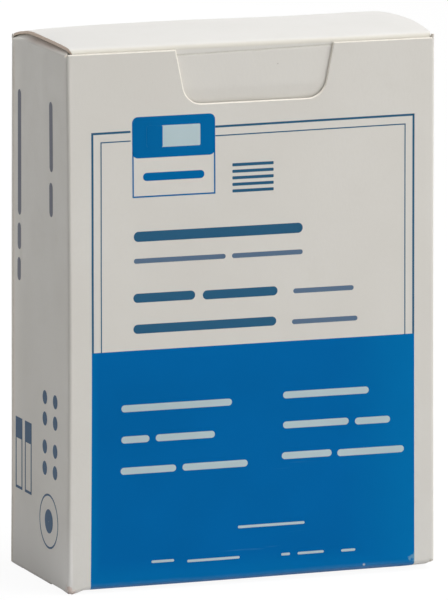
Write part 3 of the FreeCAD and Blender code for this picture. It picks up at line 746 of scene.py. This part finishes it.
def make_prints(line, fine, blue, pale, grey):
    lines = Print("front")
    print_frame(lines)
    # a stack of slides seen from the end
    for step in range(5):
        lines.bar(-3.2, 58.5 + 0.97 * step, 3.3, 58.95 + 0.97 * step, 0.1)
    lines.words(1.5, (-18.7, 7.9, 52.7))
    lines.words(1.35, (-18.8, -9.1, 43.6), (-7.9, 3.9, 43.5), (-18.8, 3.7, 39.0))
    lines.make("front_print", line)

    small = Print("front")
    small.words(0.72, (-18.7, -4.3, 49.1), (-3.3, 7.9, 49.1), (6.4, 16.0, 43.3), (6.2, 16.6, 38.7))
    small.make("front_print_small", fine)

    # a plain emblem: a slide with its frosted end, in a thin frame, over a bar
    emblem = Print("front")
    emblem.bar(EMBLEM_LEFT, 64.3, EMBLEM_RIGHT, 70.4, 0.9)
    for x0, z0, x1, z1 in ((EMBLEM_LEFT, 58.7, EMBLEM_LEFT + EMBLEM_LINE, 65.2),
                           (EMBLEM_RIGHT - EMBLEM_LINE, 58.7, EMBLEM_RIGHT, 65.2),
                           (EMBLEM_LEFT, 58.48, EMBLEM_RIGHT, 58.7)):
        emblem.bar(x0, z0, x1, z1, 0.05)
    emblem.bar(-17.2, 60.9, -7.6, 62.1)
    emblem.make("front_print_emblem", blue)

    light = Print("front", 2)
    light.bar(WINDOW_LEFT, WINDOW_LOW, -8.2, WINDOW_TOP, 0.2)
    light.words(1.04, (-20.7, -3.3, 27.3), (-20.7, -16.3, 22.65), (-15.3, -6.0, 22.65),
                (-20.8, -12.1, 18.0), (-11.1, -0.8, 18.0), (4.8, 18.4, 27.8), (4.8, 15.2, 23.3),
                (16.2, 21.8, 23.2), (4.6, 12.5, 18.7), (13.4, 24.0, 18.6))
    light.words(0.42, (-2.35, 8.2, 8.4), (-15.9, -12.35, 3.85), (-10.3, -2.05, 3.55),
                (4.5, 5.9, 3.48), (7.1, 11.25, 3.45), (14.0, 16.25, 3.35))
    light.make("front_print_light", pale)

    mark = Print("front", 3)
    mark.bar(WINDOW_LEFT, WINDOW_LOW, -14.1, WINDOW_TOP, 0.2)
    mark.make("front_print_mark", blue)

    side = Print("left")
    for y, z0, z1 in ((8.8, 53.4, 72.2), (8.9, 48.2, 52.2), (9.0, 43.5, 47.0),
                      (-6.4, 61.8, 72.2), (-6.2, 55.1, 60.2)):
        side.upright(y - 0.8, z0, y + 0.8, z1)
    side.make("side_print", grey)

    # plain marks: two slides standing side by side, a block of dots, and a disc in a ring
    marks = Print("left")
    for y0 in (3.1, 7.5):
        marks.frame(y0, 12.0, y0 + 3.2, 22.8, 0.42)
        marks.bar(y0 + 0.4, 19.6, y0 + 2.8, 22.4, 0.15)
    for z in (17.2, 20.4, 24.6, 27.8):
        for y in (-7.9, -3.1):
            marks.ring((y, z), 1.05, 1.05, 1.04)
    marks.ring((-5.1, 9.5), 4.4, 4.1, 0.3)
    marks.ring((-5.1, 9.5), 1.9, 1.8, 1.78)
    marks.make("side_print_marks", fine)


# ---- materials

def feed(tree, socket, value):
    if isinstance(value, bpy.types.NodeSocket):
        tree.links.new(value, socket)
    else:
        socket.default_value = value


def add_node(tree, kind, *values, **settings):
    """A new node with its settings, and with values for its first inputs."""
    node = tree.nodes.new("ShaderNode" + kind)
    for name, setting in settings.items():
        setattr(node, name, setting)
    for socket, value in zip(node.inputs, values):
        feed(tree, socket, value)
    return node


class Nodes:
    """A short way to write a procedural material."""

    def __init__(self, name):
        self.material = bpy.data.materials.new(name)
        self.material.use_nodes = True
        self.tree = self.material.node_tree
        self.place = add_node(self.tree, "TexCoord").outputs["Object"]
        self.x, self.y, self.z = add_node(self.tree, "SeparateXYZ", self.place).outputs

    def math(self, operation, *values):
        return add_node(self.tree, "Math", *values, operation=operation).outputs[0]

    def times(self, first, second):
        return self.math("MULTIPLY", first, second)

    def ramp(self, value, low, high, low_out=0.0, high_out=1.0):
        """A smooth step from low_out to high_out while value goes from low to high."""
        return add_node(self.tree, "MapRange", value, low, high, low_out, high_out,
                        interpolation_type="SMOOTHSTEP").outputs[0]

    def span(self, value, low, high, low_out=0.0, high_out=1.0):
        """A ramp between two places, given in millimetres."""
        return self.ramp(value, low * MM, high * MM, low_out, high_out)

    def noise(self, seed, scale, detail, roughness, stretch=(1, 1, 1)):
        place = add_node(self.tree, "Mapping", self.place, (seed, seed * 0.7, -seed), (0, 0, 0),
                         stretch).outputs[0]
        return add_node(self.tree, "TexNoise", place, 0, scale, detail, roughness).outputs["Fac"]

    def mix(self, share, first, second):
        node = add_node(self.tree, "Mix", share, data_type="RGBA")
        feed(self.tree, node.inputs[6], first)
        feed(self.tree, node.inputs[7], second)
        return node.outputs[2]

    def tint(self, colour, share, strength, wash):
        """The colour with a wash over it, as strong as strength where share is 1."""
        return self.mix(self.times(share, strength), colour, wash)

    def bump(self, height, depth, strength, after=None):
        node = add_node(self.tree, "Bump", strength, depth)
        feed(self.tree, node.inputs["Height"], height)
        if after is not None:
            feed(self.tree, node.inputs["Normal"], after)
        return node.outputs[0]

    def near(self, x, y, z, reach):
        """1 at a point, falling to 0 at a distance, all in millimetres."""
        node = add_node(self.tree, "VectorMath", self.place, (x * MM, y * MM, z * MM),
                        operation="DISTANCE")
        return self.ramp(node.outputs["Value"], 0.0, reach * MM, 1.0, 0.0)

    def finish(self, **sockets):
        shader = self.tree.nodes["Principled BSDF"]
        for name, value in sockets.items():
            feed(self.tree, shader.inputs[name.replace("_", " ")], value)
        return self.material


# colours of the board, brightest and darkest where they vary
PAPER, PAPER_LOW = (0.868, 0.848, 0.805, 1), (0.838, 0.815, 0.768, 1)
# the lid is of the walls' board; its paper is painted lighter and less yellow: painted light from
# above
TOP_LIT_PAPER, TOP_LIT_PAPER_LOW = (0.890, 0.875, 0.850, 1), (0.865, 0.850, 0.820, 1)
CORE_TAN, CORE_TAN_LOW = (1.0, 0.85, 0.72, 1), (0.98, 0.80, 0.67, 1)
CORE_CREAM, CORE_CREAM_LOW = (0.97, 0.93, 0.86, 1), (0.90, 0.85, 0.77, 1)
# the score line's colours: painted shade in the crease
SCORE_SHADE, SCORE_SHADE_LOW = (0.82, 0.80, 0.75, 1), (0.77, 0.745, 0.69, 1)

# small marks on the panels: place, size and colour
SPECKS = (((4.4, FRONT + 0.55, 77.2), 0.13, (0.36, 0.33, 0.30, 1)),
          ((-15.2, FRONT, 75.3), 0.10, (0.62, 0.58, 0.52, 1)),
          ((LEFT, 2.0, 62.0), 0.14, (0.95, 0.94, 0.92, 1)),
          ((LEFT, -3.5, 47.5), 0.12, (0.95, 0.94, 0.92, 1)))

FROST_START = 56.0  # the slides are frosted above this height


def lid_painted_light_and_wear(n, colour):
    """Below the roll the lid's painted top light ends, so the tuck flap is of the carton's colour,
    and the roll's front is yellower and darker: painted shade with some wear.
    """
    # below the roll the painted top light gives way to the walls' colour
    colour = n.mix(n.span(n.z, 79.9, 80.3, 1, 0), colour, PAPER)
    # the roll's front: painted shade mixed with wear
    roll_shade_and_wear = n.times(n.span(n.z, 79.8, 80.15), n.span(n.z, 80.4, 80.8, 1, 0))
    roll_shade_and_wear = n.times(roll_shade_and_wear, n.span(n.y, -13.4, -13.0, 1, 0))
    return n.tint(colour, roll_shade_and_wear, 0.6, (0.84, 0.80, 0.70, 1))


def carton_tints_and_painted_light(n, colour):
    """Painted shade on the dust flaps' folds under the lid's edge, brown as rubbed core, and
    painted light that makes the left panel lighter at its back and its foot.
    """
    # the dust flaps' folds just under the lid's edge: painted shade, browned as rubbed core;
    # weaker at the front and at the back
    fold = n.times(n.span(n.z, 79.6, 80.35), n.span(n.math("ABSOLUTE", n.x), 27.2, 27.8))
    fold = n.times(fold, n.times(n.span(n.y, -13.3, -5, 0.5, 1), n.span(n.y, 1, 9, 1, 0.3)))
    colour = n.tint(colour, fold, 0.72, (0.42, 0.30, 0.25, 1))
    # the left panel's back half: painted light, lighter towards its back edge
    painted_back_light = n.times(n.span(n.y, 6, 12), n.span(n.x, -27, -26, 1, 0))
    colour = n.tint(colour, painted_back_light, 0.8, (0.95, 0.925, 0.87, 1))
    left = n.span(n.x, -28.2, -28.0, 1, 0)
    # the strip by the left panel's back edge: painted highlight, warm
    edge = n.times(left, n.span(n.y, 10.4, 12.4))
    colour = n.tint(colour, edge, 0.75, (0.98, 0.90, 0.80, 1))
    # the left panel's foot: painted light against the shade near the floor
    foot = n.times(left, n.span(n.z, 2, 14, 1, 0))
    return n.tint(colour, foot, 0.85, (0.97, 0.955, 0.93, 1))


def worn_folds(n):
    """Rubbed board at the knocked corner."""
    grain = n.noise(3, 1500, 4, 0.65)
    corner = n.near(LEFT, FRONT, 0, 3.2)
    rubbed = n.ramp(n.math("ADD", grain, n.times(corner, 0.55)), 0.78, 0.95)
    return n.times(rubbed, n.ramp(corner, 0.0, 0.3))


def board_outside(name, high, low, tints):
    """Coated board, with painted shade along its bottom fold. tints adds what only this part of
    the board shows.
    """
    n = Nodes(name)
    broad = n.noise(1, 45, 2, 0.5)
    cloud = n.noise(2, 260, 4, 0.6)
    fibre = n.noise(5, 2600, 5, 0.7, (1, 1, 0.45))
    colour = n.mix(n.ramp(broad, 0.3, 0.7), high, low)
    colour = n.mix(n.ramp(cloud, 0.52, 0.75, 0, 0.5), colour, low)
    colour = n.mix(n.ramp(fibre, 0.4, 0.75, 0, 0.5), colour, low)
    colour = tints(n, colour)
    for place, reach, speck in SPECKS:
        colour = n.tint(colour, n.near(*place, reach), 0.8, speck)
    colour = n.tint(colour, worn_folds(n), 0.85, (0.80, 0.66, 0.60, 1))
    tip = n.near(LEFT + 0.1, FRONT + 0.1, 0.0, 0.6)
    colour = n.tint(colour, tip, 0.8, (0.12, 0.10, 0.10, 1))
    # the bottom fold of every wall: painted shade, dark purple-brown
    bottom_fold_shade = n.span(n.z, 0.1, 0.8, 0.45, 0.0)
    colour = n.mix(bottom_fold_shade, colour, (0.46, 0.39, 0.40, 1))
    rough = n.ramp(cloud, 0.2, 0.8, 0.5, 0.62)
    relief = n.bump(fibre, 0.00003, 0.45, n.bump(broad, 0.0006, 0.3))
    return n.finish(Base_Color=colour, Roughness=rough, Normal=relief, Specular_IOR_Level=0.22)


def field_wear(n, colour):
    """Wear of the blue field: scuffs, its rubbed bottom fold, brighter sides and a few chips."""
    scratch = n.noise(14, 520, 3, 0.6, (0.1, 1, 1.8))
    patch = n.noise(15, 90, 2, 0.5)
    scuff = n.times(n.ramp(scratch, 0.66, 0.74), n.ramp(patch, 0.5, 0.62))
    low_part = n.span(n.z, 8, 22, 1.0, 0.1)
    rubbed = n.math("MAXIMUM", n.near(-6, FRONT, 13, 7), n.near(14, FRONT, 15, 5))
    share = n.times(scuff, n.math("MAXIMUM", low_part, rubbed))
    colour = n.tint(colour, share, 0.16, (0.16, 0.42, 0.68, 1))
    # the height above the lifted fold, with a ragged edge
    edge_noise = n.noise(16, 420, 3, 0.6, (1, 1, 0.5))
    fold = n.span(n.x, RISE_FROM, RISE_TO, FOLD_LIFT * MM, (FOLD_LIFT + FOLD_RISE) * MM)
    above = n.math("ADD", n.math("SUBTRACT", n.z, fold), n.times(edge_noise, 0.4 * MM))
    colour = n.mix(n.span(above, 0.45, 1.15, 0.8, 0), colour, (0.10, 0.25, 0.43, 1))
    colour = n.mix(n.span(above, 0.2, 0.6, 0.8, 0), colour, (0.33, 0.36, 0.46, 1))
    bright = n.math("MAXIMUM", n.span(n.x, 12, 26, 0, 0.8),
                    n.span(n.x, FIELD_LEFT + 0.3, FIELD_LEFT + 1.8, 0.7, 0))
    bright = n.math("MAXIMUM", bright, n.span(n.z, 1.5, 5, 0.6, 0))
    colour = n.mix(bright, colour, (0.0008, 0.205, 0.54, 1))
    chip_grain = n.noise(18, 1100, 3, 0.6)
    chips = n.near(FIELD_RIGHT - 0.2, FRONT, 1.9, 2.0)
    dot = n.near(17.5, FRONT, 1.45, 0.3)
    chips = n.ramp(n.math("ADD", chip_grain, n.times(chips, 0.45)), 0.76, 0.92)
    colour = n.tint(colour, chips, 0.7, (0.22, 0.45, 0.60, 1))
    return n.mix(dot, colour, (0.66, 0.70, 0.74, 1))


def board_ink(name, red, green, blue, wear=None):
    """Ink on the board. wear adds what only this ink shows."""
    n = Nodes(name)
    base = (red, green, blue, 1)
    broad = n.noise(11, 60, 2, 0.5)
    fine = n.noise(12, 1800, 4, 0.7)
    darker = (red * 0.93, green * 0.93, blue * 0.93, 1)
    colour = n.mix(n.ramp(broad, 0.3, 0.75), base, darker)
    colour = n.mix(n.ramp(fine, 0.55, 0.9, 0, 0.05), colour, (0.02, 0.25, 0.60, 1))
    if wear:
        colour = wear(n, colour)
    rough = n.ramp(broad, 0.2, 0.8, 0.5, 0.56)
    relief = n.bump(fine, 0.00002, 0.4, n.bump(broad, 0.0006, 0.25))
    return n.finish(Base_Color=colour, Roughness=rough, Normal=relief, Specular_IOR_Level=0.02)


def raw_board(name, fibre, broad, light, dark, darkest, share, relief, **looks):
    """Uncoated board, with its fibre and broad noise given."""
    n = Nodes(name)
    fibre, broad = n.noise(*fibre), n.noise(*broad)
    colour = n.mix(n.ramp(fibre, 0.35, 0.7), light, dark)
    colour = n.mix(n.ramp(broad, *share), colour, darkest)
    return n.finish(Base_Color=colour, Normal=n.bump(fibre, 0.00005, relief), **looks)


def board_core(name, light, dark):
    """The raw edge of the board, in its layers."""
    return raw_board(name, (21, 2200, 4, 0.7, (0.5, 0.5, 1)), (22, 240, 3, 0.6), light, dark, dark,
                     (0.45, 0.8, 0, 0.4), 0.8, Roughness=0.9, Specular_IOR_Level=0.15)


def board_inside(name):
    """The reverse of the board."""
    return raw_board(name, (31, 1100, 6, 0.75, (1, 1, 0.35)), (32, 120, 3, 0.5),
                     (0.80, 0.75, 0.65, 1), (0.71, 0.65, 0.55, 1), (0.68, 0.62, 0.52, 1),
                     (0.4, 0.8, 0, 0.3), 0.7, Roughness=0.88, Specular_IOR_Level=0.2)


def slide_glass(name):
    """Clear glass with a frosted upper end."""
    n = Nodes(name)
    frost = n.span(n.z, FROST_START - 0.25, FROST_START + 0.25)
    grain = n.noise(41, 5200, 3, 0.6)
    smear = n.noise(42, 140, 3, 0.6)
    clear = n.mix(n.ramp(smear, 0.4, 0.8), (0.84, 0.93, 0.90, 1), (0.80, 0.91, 0.88, 1))
    colour = n.mix(frost, clear, (0.90, 0.93, 0.92, 1))
    rough = n.math("ADD", n.times(frost, 0.5), n.ramp(smear, 0.3, 0.8, 0.02, 0.07))
    relief = n.bump(n.times(grain, frost), 0.00002, 0.6)
    return n.finish(Base_Color=colour, Roughness=rough, Normal=relief,
                    Transmission_Weight=n.ramp(frost, 0, 1, 0.92, 0.45), IOR=1.52)


# ---- build the object

white_board = board_outside("coated_board", PAPER, PAPER_LOW, carton_tints_and_painted_light)
# the lid's board is the walls' board with painted light from above
top_lit_lid_board = board_outside("top_lit_lid_board", TOP_LIT_PAPER, TOP_LIT_PAPER_LOW, lid_painted_light_and_wear)
blue_ink = board_ink("blue_field_ink", 0.0006, 0.166, 0.50, field_wear)
line_ink = board_ink("line_ink", 0.036, 0.145, 0.275)
fine_ink = board_ink("fine_ink", 0.14, 0.22, 0.34)
emblem_ink = board_ink("emblem_ink", 0.0015, 0.172, 0.475)
side_ink = board_ink("side_ink", 0.30, 0.31, 0.37)
pale_ink = board_ink("pale_ink", 0.60, 0.75, 0.80)
cut_edge = board_core("cut_edge", CORE_CREAM, CORE_CREAM_LOW)
lid_edge = board_core("lid_cut_edge", CORE_TAN, CORE_TAN_LOW)
back_side = board_inside("board_reverse")
# the score line's board is painted darker: painted shade in its crease
score_shade_paint = board_core("score_shade_paint", SCORE_SHADE, SCORE_SHADE_LOW)

board_set = [white_board, blue_ink, cut_edge, back_side]
lid_set = [top_lit_lid_board, blue_ink, lid_edge, back_side, score_shade_paint]

walls = make_walls(board_set)
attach(walls, "carton")
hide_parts("carton")
for piece in (make_dust_flaps(board_set), make_bottom(board_set), make_hinge_fold(board_set)):
    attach(piece, "carton")

lid = make_lid(lid_set)
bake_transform(lid)
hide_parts("lid", "tuck_flap")

make_prints(line_ink, fine_ink, emblem_ink, pale_ink, side_ink)

glass = slide_glass("slide_glass")
for name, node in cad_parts.items():
    if name.startswith("slide_"):
        node.data.materials.clear()
        node.data.materials.append(glass)


# ---- stage, lights and camera

WORLD_STRENGTH, WHITE = 0.19, (1, 1, 1, 1)
FLOOR_HALF, FLOOR_GLOW, FLOOR_SHARE = 3.0, 1.09, 0.86

# lamps: name, place in metres, size, power and colour
LAMPS = (("top_lamp", (0.25, -0.15, 1.0), 0.45, 5.9, (0.98, 0.99, 1.0)),
         ("left_lamp", (-0.20, 0.30, 0.07), 0.12, 0.112, (1.0, 0.985, 0.95)),
         ("front_lamp", (0.49, -0.58, 0.33), 0.85, 3.38, (1.0, 0.975, 0.93)),
         ("back_lamp", (0.05, 0.75, 0.08), 0.15, 0.8, (1.0, 0.985, 0.96)))
LAMP_AIM = (0, 0, 0.04)

# the camera: angles in degrees, distance and shifts in metres, lens and sensor in millimetres
AZIMUTH, ELEVATION, TILT = -19.283, 9.084, -0.301
DISTANCE, SHIFT_ACROSS, SHIFT_UP = 1.1985, 0.00039, 0.039713
LENS, SENSOR = 480, 36


def mix_shaders(tree, strength, first, second, output):
    """Feed an output with first, mixed with second for camera, glossy and transmitted rays."""
    path = add_node(tree, "LightPath").outputs
    share = path["Is Camera Ray"]
    for kind in ("Is Glossy Ray", "Is Transmission Ray"):
        share = add_node(tree, "Math", share, path[kind], operation="MAXIMUM").outputs[0]
    share = add_node(tree, "Math", share, strength, operation="MULTIPLY").outputs[0]
    mixer = add_node(tree, "MixShader", share, first.outputs[0], second.outputs[0])
    tree.links.new(mixer.outputs[0], tree.nodes[output].inputs[0])


def make_world():
    """Soft warm light all round, seen as plain white."""
    world = bpy.data.worlds.new("studio")
    bpy.context.scene.world = world
    world.use_nodes = True
    tree = world.node_tree
    soft = tree.nodes["Background"]
    feed(tree, soft.inputs[0], (1.0, 0.985, 0.96, 1))
    feed(tree, soft.inputs[1], WORLD_STRENGTH)
    mix_shaders(tree, 1.0, soft, add_node(tree, "Background", WHITE, 1.0), "World Output")


def make_floor():
    """A pale floor that keeps a little of the object's shadow and is else seen as white."""
    mesh = bpy.data.meshes.new("floor")
    corners = ((-1, -1), (1, -1), (1, 1), (-1, 1))
    mesh.from_pydata([(x * FLOOR_HALF, y * FLOOR_HALF, 0) for x, y in corners], [], [(0, 1, 2, 3)])
    floor = add_object("floor", mesh)
    n = Nodes("floor")
    mesh.materials.append(n.finish(Base_Color=(0.62, 0.62, 0.62, 1), Roughness=0.95,
                                   Specular_IOR_Level=0.1))
    mix_shaders(n.tree, FLOOR_SHARE, n.tree.nodes["Principled BSDF"],
                add_node(n.tree, "Emission", WHITE, FLOOR_GLOW), "Material Output")


def make_lamp(name, place, size, power, colour):
    """A square lamp that looks at the middle of the object."""
    data = bpy.data.lights.new(name, "AREA")
    data.shape = "SQUARE"
    data.size = size
    data.energy = power
    data.color = colour
    lamp = add_object(name, data)
    lamp.location = place
    aim = Vector(LAMP_AIM) - Vector(place)
    lamp.rotation_euler = aim.to_track_quat("-Z", "Y").to_euler()


def make_camera():
    """Turned, raised and tilted about the origin, then shifted and drawn back."""
    data = bpy.data.cameras.new("camera")
    data.sensor_fit = "VERTICAL"
    data.sensor_height = SENSOR
    data.lens = LENS
    data.clip_start, data.clip_end = 0.01, 20
    camera = add_object("camera", data)
    camera.matrix_world = Matrix.Rotation(math.radians(AZIMUTH), 4, "Z") \
        @ Matrix.Rotation(math.radians(90 - ELEVATION), 4, "X") \
        @ Matrix.Rotation(math.radians(TILT), 4, "Z") \
        @ Matrix.Translation((SHIFT_ACROSS, SHIFT_UP, DISTANCE))
    bpy.context.scene.camera = camera


make_world()
make_floor()
for lamp in LAMPS:
    make_lamp(*lamp)
make_camera()

scene = bpy.context.scene
scene.view_settings.view_transform = "Standard"
